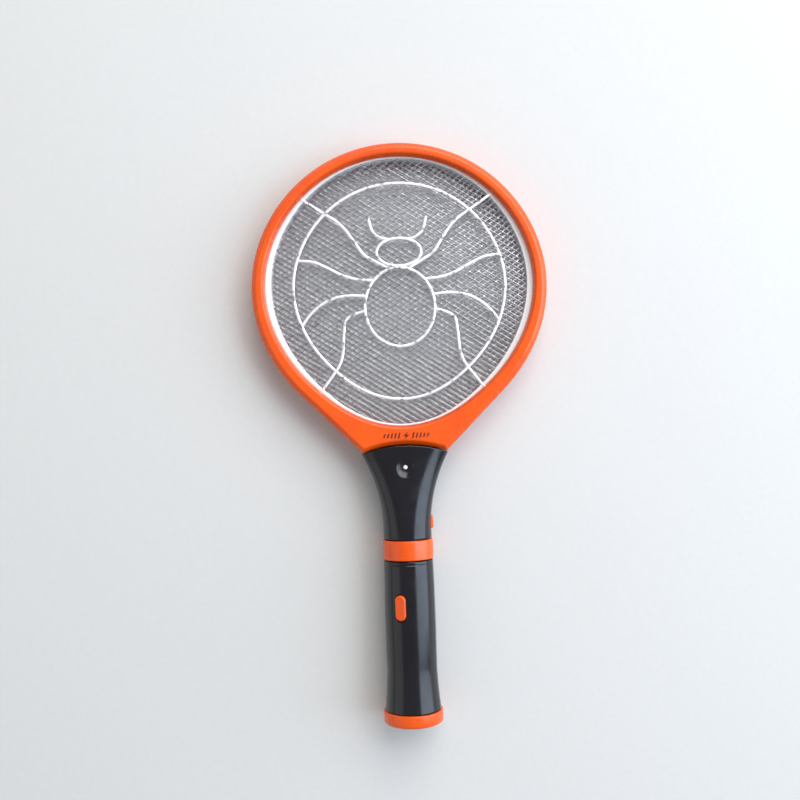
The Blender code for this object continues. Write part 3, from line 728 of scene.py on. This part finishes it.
def switch_slot():
    """The slot in the neck's side for the knob and its travel."""
    low = (13.2, SWITCH_Y - KNOB_HALF_LENGTH - GAP, -KNOB_HALF_HEIGHT - GAP)
    high = (22.0, SWITCH_Y + SWITCH_TRAVEL + KNOB_HALF_LENGTH + GAP, KNOB_HALF_HEIGHT + GAP)
    return box_surface(low, high)


# ---------------------------------------------------------------- torch's wide end


def reflector():
    """A paraboloid shell with a flat rim: its radius grows as the root of the height over the throat."""
    mouth, throat, back, depth, wall = 16.4, 3.2, 6.3, 9.5, 0.9
    share = np.linspace(0, 1, 40) ** 0.6
    bowl = np.stack([throat + (mouth - throat) * np.sqrt(1 - share), back + depth * share], -1)
    outside = (bowl + (0, wall))[::-1]
    rim = [(mouth + 0.5, back), (18.5, back), (18.5, 5.5), (mouth, 5.5)]
    return lathe(np.concatenate([bowl, outside, rim]))


def lens():
    """A clear disc with a flat seat at its edge and a dome that falls as the square of the radius."""
    window, edge, back, seat, rise = 15.6, 18.6, 3.9, 1.9, 0.9
    share = np.linspace(0, 1, 16)
    dome = np.stack([window * share, seat - rise * (1 - share**2)], -1)
    rest = [(window, seat, 0), (edge, seat, 0.3), (edge, back, 0.3), (0, back, 0)]
    return lathe(np.concatenate([dome[:-1], rounded(rest, closed=False, steps=4)]))


def bezel():
    """A plain ring with a well rounded front edge and a bevelled window.

    It touches the floor, so its radius is the height of the axis.
    """
    radius, window, seat, bore, back = AXIS, 16.4, 1.6, 19.2, 9.0
    profile = rounded(
        [
            (window, 1.0, 0.2),
            (window + 1.2, 0, 0.3),
            (radius, 0, 2.3),
            (radius, back, 0.6),
            (bore, back, 0.2),
            (bore, seat, 0),
            (window, seat, 0.2),
        ]
    )
    return lathe(profile, segments=192)


def collar():
    """A plain band with rounded edges, over the joint of neck and torch."""
    (low, high), bore, radius = COLLAR, COLLAR_BORE, COLLAR_RADIUS
    corners = [(bore, low, 0.2), (radius, low, 0.9), (radius, high, 0.9), (bore, high, 0.2)]
    return lathe(rounded(corners, steps=8), segments=192)


def lamp(radius, flange, foot, seat, shoulder, tip, centre, axis):
    """A moulded lamp: a flange from foot to seat, a straight body to the shoulder, a dome to the tip."""
    steps = np.linspace(0, math.pi / 2, 12)
    dome = np.stack([radius * np.cos(steps), shoulder + (tip - shoulder) * np.sin(steps)], -1)
    dome[-1, 0] = 0
    base = [(0, foot), (flange, foot), (flange, seat), (radius, seat)]
    return lathe(np.concatenate([base, dome]), centre, axis, 48)


# ---------------------------------------------------------------- finishes


def linear(code):
    """Opaque linear colour from an sRGB hex code."""
    value = [int(code[i : i + 2], 16) / 255 for i in (1, 3, 5)]
    return (*[v / 12.92 if v <= 0.04045 else ((v + 0.055) / 1.055) ** 2.4 for v in value], 1.0)


def add_node(tree, kind, inputs=None, **settings):
    """Adds a node. An input is set to a value, or linked where it is given an output socket."""
    node = tree.nodes.new(kind)
    for name, value in settings.items():
        setattr(node, name, value)
    for name, value in (inputs or {}).items():
        if isinstance(value, bpy.types.NodeSocket):
            tree.links.new(value, node.inputs[name])
        else:
            node.inputs[name].default_value = value
    return node


def patterned(name, colours, tone, rough, wear, relief, stretch=(1, 1, 1), **values):
    """A Principled material whose colour, roughness and surface each follow a noise of their own.

    tone, wear and relief start with the size of the noise's patches in millimetres and its detail.
    tone goes on with the part of the noise's range over which the first colour turns into the second,
    and relief with the bump's strength and its depth in millimetres. rough is the roughness where
    wear is low and where it is high. stretch draws all three out into lines.
    """
    made = bpy.data.materials.new(name)
    made.use_nodes = True
    tree = made.node_tree
    shader = tree.nodes["Principled BSDF"]
    for key, value in values.items():
        shader.inputs[key.replace("_", " ")].default_value = value
    coords = add_node(tree, "ShaderNodeTexCoord").outputs["Object"]
    drawn = add_node(tree, "ShaderNodeMapping", {"Vector": coords, "Scale": stretch}).outputs["Vector"]
    tones, wears, reliefs = [
        add_node(
            tree, "ShaderNodeTexNoise", {"Vector": drawn, "Scale": 1 / (size * MM), "Detail": detail}
        ).outputs["Fac"]
        for size, detail, *_ in (tone, wear, relief)
    ]
    low, high = NOISE_RANGE
    share = add_node(
        tree, "ShaderNodeMapRange", {"Value": tones, "From Min": tone[2], "From Max": tone[3]}
    ).outputs["Result"]
    first, second = [linear(code) for code in colours]
    mix = add_node(tree, "ShaderNodeMix", {0: share, 6: first, 7: second}, data_type="RGBA")
    span = {"From Min": low, "From Max": high, "To Min": rough[0], "To Max": rough[1]}
    polish = add_node(tree, "ShaderNodeMapRange", {"Value": wears, **span})
    strength, depth = relief[2:]
    bump = add_node(
        tree, "ShaderNodeBump", {"Height": reliefs, "Strength": strength, "Distance": depth * MM}
    )
    tree.links.new(mix.outputs[2], shader.inputs["Base Color"])
    tree.links.new(polish.outputs["Result"], shader.inputs["Roughness"])
    tree.links.new(bump.outputs["Normal"], shader.inputs["Normal"])
    return made


def glossy_orange_abs():
    """Injection-moulded ABS from a polished mould.

    The colour drifts over centimetres as the melt did, the skin has the fine ripple of orange peel,
    and handling leaves patches that shine a little less.
    """
    return patterned(
        "glossy_orange_abs", ("#E85002", "#EE5A04"), (28, 2, 0.3, 0.7), (0.2, 0.32), (9, 5),
        (0.9, 1, 0.25, 0.02), IOR=1.54,
    )


def glossy_black_abs():
    """The same moulding in blue-black: nearly all that shows is its gloss and the ripple in it."""
    return patterned(
        "glossy_black_abs", ("#05040C", "#090814"), (28, 2, 0.3, 0.7), (0.15, 0.26), (9, 5),
        (0.9, 1, 0.25, 0.02), IOR=1.54,
    )


def white_polystyrene():
    """Unpolished moulded polystyrene: chalky, with faint cloudiness."""
    return patterned(
        "white_polystyrene", ("#D8D8D4", "#E2E2DE"), (28, 2, 0.3, 0.7), (0.4, 0.55), (9, 5),
        (0.9, 1, 0.25, 0.02), IOR=1.59,
    )


def expanded_aluminium():
    """Slit and stretched sheet: bright sheared edges, duller rolled faces, and fine scores."""
    return patterned(
        "expanded_aluminium", ("#8F9096", "#D2D2D8"), (3.2, 3, 0.35, 0.65), (0.28, 0.5), (1.4, 2),
        (0.35, 3, 0.3, 0.03), Metallic=1.0,
    )


def border_aluminium_painted_highlight():
    """The sheets' plain border: pale and matt aluminium, its near-white colour a painted highlight, with
    faint rolling lines.
    """
    return patterned(
        "border_aluminium_painted_highlight", ("#E8E8EA", "#F8F8F8"), (6, 3, 0, 1), (0.4, 0.55), (3, 2),
        (1.2, 3, 0.1, 0.02), (1, 8, 1), Metallic=0.3,
    )


def coined_aluminium():
    """The pressed pattern: strands squeezed flat and bright, with dull gaps where diamonds were."""
    return patterned(
        "coined_aluminium", ("#A4A4AC", "#FFFFFF"), (4, 2, 0.34, 0.44), (0.3, 0.5), (0.8, 2),
        (0.9, 2, 0.35, 0.1), Metallic=0.55,
    )


def nickel_plated_steel():
    """Cold-drawn steel under bright nickel: fine drawing lines and a few dull clouds."""
    return patterned(
        "nickel_plated_steel", ("#B4B5B8", "#C9CACC"), (4, 3, 0.3, 0.7), (0.22, 0.4), (1.2, 3),
        (0.5, 2, 0.15, 0.02), (1, 12, 1), Metallic=1.0,
    )


def rolled_brass():
    """Rolled brass strip: lines along its length and brown tarnish in patches."""
    return patterned(
        "rolled_brass", ("#B8923F", "#D1AE60"), (4, 3, 0.3, 0.7), (0.25, 0.45), (1.2, 3),
        (0.5, 2, 0.15, 0.02), (1, 12, 1), Metallic=1.0,
    )


def vacuum_chrome():
    """Aluminium evaporated on moulded plastic: nearly a mirror, with a faint wave from the mould."""
    return patterned(
        "vacuum_chrome", ("#E9EAEC", "#F6F6F7"), (8, 2, 0, 1), (0.05, 0.1), (2, 2),
        (3, 2, 0.1, 0.02), Metallic=1.0,
    )


def clear_acrylic():
    """Clear moulded acrylic: sharp see-through, a slight wave, and hazier where it has been rubbed."""
    return patterned(
        "clear_acrylic", ("#F1F6FA", "#F8FBFD"), (6, 2, 0.3, 0.7), (0.01, 0.06), (1.5, 4),
        (4, 2, 0.08, 0.02), IOR=1.49, Transmission_Weight=1.0,
    )


def phenolic_board():
    """Pressed phenolic paper: brown, with paper fibres under a waxy skin."""
    return patterned(
        "phenolic_board", ("#8A6436", "#A57B45"), (0.6, 6, 0.3, 0.7), (0.35, 0.55), (2, 2),
        (0.6, 4, 0.15, 0.02), IOR=1.6,
    )


def sintered_ferrite():
    """Pressed and fired iron oxide: dark grey and matt, with a powdery grain."""
    return patterned(
        "sintered_ferrite", ("#2A2A2C", "#3A3A3D"), (0.4, 4, 0.3, 0.7), (0.6, 0.8), (0.4, 4),
        (0.4, 4, 0.2, 0.05),
    )


def polyester_tape():
    """Wound yellow polyester tape: glossy film, paler where air lies under it."""
    return patterned(
        "polyester_tape", ("#D9A91E", "#E8BE3C"), (2, 4, 0.3, 0.7), (0.25, 0.4), (2, 4),
        (2, 4, 0.2, 0.05),
    )


def epoxy_lacquer():
    """Dipped red-brown epoxy: glossy, thick and a little lumpy."""
    return patterned(
        "epoxy_lacquer", ("#8C3018", "#A13B20"), (1.5, 4, 0.3, 0.7), (0.25, 0.4), (1.5, 4),
        (1.5, 4, 0.2, 0.05),
    )


def black_rubber():
    """Moulded rubber and moulding compound: matt black with a fine dusty grain."""
    return patterned(
        "black_rubber", ("#151515", "#202020"), (0.3, 4, 0.3, 0.7), (0.6, 0.85), (0.3, 4),
        (0.3, 4, 0.2, 0.05),
    )


def cell_sleeve():
    """Shrunk plastic sleeve on a cell: dark blue and satin, faintly uneven where it shrank."""
    return patterned(
        "cell_sleeve", ("#20344A", "#2A425C"), (6, 4, 0.3, 0.7), (0.25, 0.4), (6, 4),
        (6, 4, 0.2, 0.05),
    )


def pad_printed_ink():
    """Dark ink from a soft pad: thin and a little uneven, so that the plastic shows through."""
    return patterned(
        "pad_printed_ink", ("#7A2408", "#4A1206"), (0.5, 3, 0.2, 0.6), (0.35, 0.55), (1, 2),
        (0.5, 3, 0.1, 0.01), IOR=1.5,
    )


def diffused_epoxy():
    """A diffused lamp's moulding: milky epoxy with a glossy skin and faint flow marks."""
    return patterned(
        "diffused_epoxy", ("#EDE6EC", "#FFFFFF"), (1.2, 3, 0, 1), (0.12, 0.25), (0.7, 2),
        (1.5, 2, 0.08, 0.01), IOR=1.53,
    )


def phosphor():
    """The lamp's chip: a yellow phosphor dot, matt and granular."""
    return patterned(
        "phosphor", ("#E8C63A", "#F5DB63"), (0.1, 4, 0.3, 0.7), (0.6, 0.8), (0.1, 4),
        (0.1, 4, 0.2, 0.05),
    )


def pale_board():
    """The floor: smooth matt board, with a fibre grain too faint to see at a distance."""
    return patterned(
        "pale_board", ("#D2D2D0", "#D8D8D6"), (4, 6, 0, 1), (0.68, 0.74), (6, 2), (1, 4, 0.1, 0.02)
    )


def make_finishes():
    """The finish for each material slot of the record."""
    return {
        "orange_plastic": glossy_orange_abs(),
        "black_plastic": glossy_black_abs(),
        "white_plastic": white_polystyrene(),
        "mesh_metal": expanded_aluminium(),
        "steel": nickel_plated_steel(),
        "brass": rolled_brass(),
        "reflector_chrome": vacuum_chrome(),
        "clear_plastic": clear_acrylic(),
        "circuit_board": phenolic_board(),
        "ferrite": sintered_ferrite(),
        "winding_tape": polyester_tape(),
        "capacitor_case": epoxy_lacquer(),
        "black_rubber": black_rubber(),
        "cell_sleeve": cell_sleeve(),
    }


# ---------------------------------------------------------------- build


def dress_sheet(name, node, z, lean, shift, metal, border):
    """One sheet of the head: its expanded mesh, and its plain border."""
    low, high = z - SHEET_THICKNESS / 2, z + SHEET_THICKNESS / 2
    rim = band(0, BORDER_WIDTH, low, high, 0.15, border=True)
    piece(f"{name}_mesh", [expanded_mesh(z, lean, shift)], metal, "racket", [node])
    piece(f"{name}_mesh_border", [rim], border, "racket", [node])


def dress_head(finishes):
    """The two halves of the frame, then the rings and sheets between them, then pattern and print."""
    orange, white = finishes["orange_plastic"], finishes["white_plastic"]
    # The border's near-white finish is a painted highlight.
    metal, border = finishes["mesh_metal"], border_aluminium_painted_highlight()
    front, rear = [frame_half(side) for side in (1, -1)]
    piece("front_frame_moulding", [front], orange, "racket", ["front_frame"])
    rear = piece("rear_frame_moulding", [rear], orange, "racket", ["rear_frame"])
    carve(rear, [screw_well(*at) for at in FRAME_SCREWS])
    for side, name, shift in ((1, "front", (0, 0)), (-1, "rear", (1.1, 0.7))):
        ring = band(*SPACER, *sorted(side * z for z in SPACER_Z))
        piece(f"{name}_spacer", [ring], white, "racket", [f"{name}_spacer_ring"])
        dress_sheet(name, f"{name}_guard", side * GUARD_Z, side * STRAND_LEAN, shift, metal, border)
    dress_sheet("live", "electrode_grid", 0.0, -STRAND_LEAN, (1.6, 1.0), metal, border)
    piece("pressed_pattern", spider_relief(), coined_aluminium(), "racket")
    piece("shoulder_print", shoulder_mark(), pad_printed_ink(), "racket")


def dress_screws(places, finishes, body, names, turn=0.0):
    """A screw at each place, standing for the CAD node of its name."""
    steel = finishes["steel"]
    for (x, y), name in zip(places, names):
        made = piece(f"{name}_head", [screw(x, y)], steel, body, [name], turn)
        carve(made, cross_recess(x, y), turn)


def dress_neck(finishes):
    """The neck's two shells with the lamp's dish, the switch's slot and the screws' wells."""
    black, orange = finishes["black_plastic"], finishes["orange_plastic"]
    front, rear = [neck_shell(side) for side in (1, -1)]
    front = piece("neck_front_moulding", [front], black, "racket", ["neck_front_shell"])
    rear = piece("neck_rear_moulding", [rear], black, "racket", ["neck_rear_shell"])
    floor = neck_height(LED_Y) - DISH_DEPTH
    carve(front, [dish_cutter(floor), switch_slot()])
    carve(rear, [switch_slot()] + [screw_well(*at) for at in NECK_SCREWS])
    led = lamp(1.5, 2.2, -3.1, -2.1, -0.2, 0.95, (0, LED_Y, floor), "z")
    piece("neck_lamp", [led], diffused_epoxy(), "racket", ["neck_led"])
    dress_screws(NECK_SCREWS, finishes, "racket", ["neck_screw_left", "neck_screw_right"])
    piece("side_knob", [switch_knob()], orange, "side_switch", ["side_switch_knob"])


def dress_torch(finishes):
    """The collar, and the torch behind it: shells, button, bezel, lens, reflector and lamp."""
    black, orange = finishes["black_plastic"], finishes["orange_plastic"]
    clear, chrome = finishes["clear_plastic"], finishes["reflector_chrome"]
    piece("collar_ring", [collar()], orange, "lock_ring", ["lock_collar"])
    front, rear = [
        piece(
            f"grip_{name}_moulding",
            [grip_shell(side)],
            black,
            "torch",
            [f"grip_{name}_shell"],
            TORCH_TURN,
        )
        for side, name in ((1, "front"), (-1, "rear"))
    ]
    carve(front, [button_hole()], TORCH_TURN)
    carve(rear, [screw_well(*GRIP_SCREW)], TORCH_TURN)
    dress_screws([GRIP_SCREW], finishes, "torch", ["grip_screw"], TORCH_TURN)
    button = [press_button()]
    piece("oval_button", button, orange, "button", ["press_button"], TORCH_TURN)
    piece("bezel_ring", [bezel()], orange, "bezel_cap", ["bezel"])
    piece("domed_lens", [lens()], clear, "bezel_cap", ["torch_lens"])
    piece("lamp_bowl", [reflector()], chrome, "torch", ["reflector"])
    led = lamp(2.45, 2.9, 17.9, 16.9, 12.4, 9.9, (0, 0, 0), "y")
    piece("torch_lamp", [led], clear, "torch", ["torch_led"])
    chip = rounded([(0, 13.6, 0), (1.1, 13.6, 0.3), (1.1, 14.6, 0.2), (0, 14.6, 0)], closed=False)
    piece("lamp_chip", [lathe(chip, segments=24)], phosphor(), "torch")


def dress_parts(finishes):
    """The parts inside keep their own solids and take their slot's finish."""
    for part in frame["record"]["subparts"]:
        mesh = frame["nodes"][part["node"]].data
        mesh.materials.clear()
        mesh.materials.append(finishes[part["material_slot"]])


# ---------------------------------------------------------------- stage


def look_at_swatter(obj, place_m):
    """Puts an object somewhere and turns its -Z to the swatter's middle, with no roll."""
    direction = np.array([0.0, 0.0, 0.02]) - np.array(place_m)
    obj.location = place_m
    yaw = math.atan2(direction[1], direction[0]) - math.pi / 2
    pitch = math.atan2(np.hypot(direction[0], direction[1]), -direction[2])
    obj.rotation_euler = (pitch, 0, yaw)


def soft_light(name, place_m, size, power, colour):
    """A rectangular light that faces the swatter."""
    lamp_data = bpy.data.lights.new(name, "AREA")
    lamp_data.shape = "RECTANGLE"
    lamp_data.size, lamp_data.size_y = size
    lamp_data.energy = power
    lamp_data.color = colour
    obj = bpy.data.objects.new(name, lamp_data)
    bpy.context.scene.collection.objects.link(obj)
    look_at_swatter(obj, place_m)


def build_stage():
    """The floor touches the bezel and the rim of the head, so it slopes a little along the handle."""
    half, clearance, bezel_edge = 4.0, 0.1 * MM, 1.0 * MM
    rest_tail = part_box("bezel")[1][1] - bezel_edge
    rest_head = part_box("rear_frame")[1][1] - RIM_SHOULDER * MM
    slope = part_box("rear_frame")[0][2] / (rest_head - rest_tail)
    ys = np.array([-half, half])
    zs = (ys - rest_tail) * slope - clearance
    corners = [(-half, ys[0], zs[0]), (half, ys[0], zs[0]), (half, ys[1], zs[1]), (-half, ys[1], zs[1])]
    mesh = bpy.data.meshes.new("floor")
    mesh.from_pydata(corners, [], [(0, 1, 2, 3)])
    mesh.materials.append(pale_board())
    floor = bpy.data.objects.new("floor", mesh)
    bpy.context.scene.collection.objects.link(floor)

    world = bpy.data.worlds.new("studio")
    world.use_nodes = True
    sky = world.node_tree.nodes["Background"]
    sky.inputs["Color"].default_value = linear("#E8E9EC")
    sky.inputs["Strength"].default_value = 0.5
    bpy.context.scene.world = world
    soft_light("right_window", (1.6, 0.2, 0.95), (1.7, 2.2), 42, (0.72, 0.84, 1.0))
    soft_light("top_softbox", (0.8, 1.8, 1.9), (2.2, 2.2), 62, (1.0, 0.97, 0.93))
    soft_light("left_fill", (-2.0, -0.4, 1.0), (1.2, 1.6), 3, (1.0, 0.97, 0.93))
    return slope


def build_camera(slope):
    """Square to the floor over the handle's upper end, and rolled a little."""
    view_side, height, roll = 0.576, 0.72, math.radians(-1.97)
    aim = np.array([-2.7, 22.8, AXIS]) * MM
    camera = bpy.data.cameras.new("camera")
    camera.sensor_width = 36.0
    camera.lens = camera.sensor_width * height / view_side
    camera.clip_start, camera.clip_end = 0.05, 20
    obj = bpy.data.objects.new("camera", camera)
    tilt = math.atan(slope)
    obj.location = aim + np.array([0, -math.sin(tilt), math.cos(tilt)]) * height
    obj.rotation_euler = (tilt, 0, roll)
    bpy.context.scene.collection.objects.link(obj)
    bpy.context.scene.camera = obj
    bpy.context.scene.view_settings.view_transform = "Standard"


def main():
    """Dresses every part, then sets the floor, the lights and the camera."""
    finishes = make_finishes()
    dress_parts(finishes)
    dress_head(finishes)
    dress_screws(FRAME_SCREWS, finishes, "racket", ["frame_screw_left", "frame_screw_right"])
    dress_neck(finishes)
    dress_torch(finishes)
    build_camera(build_stage())


main()
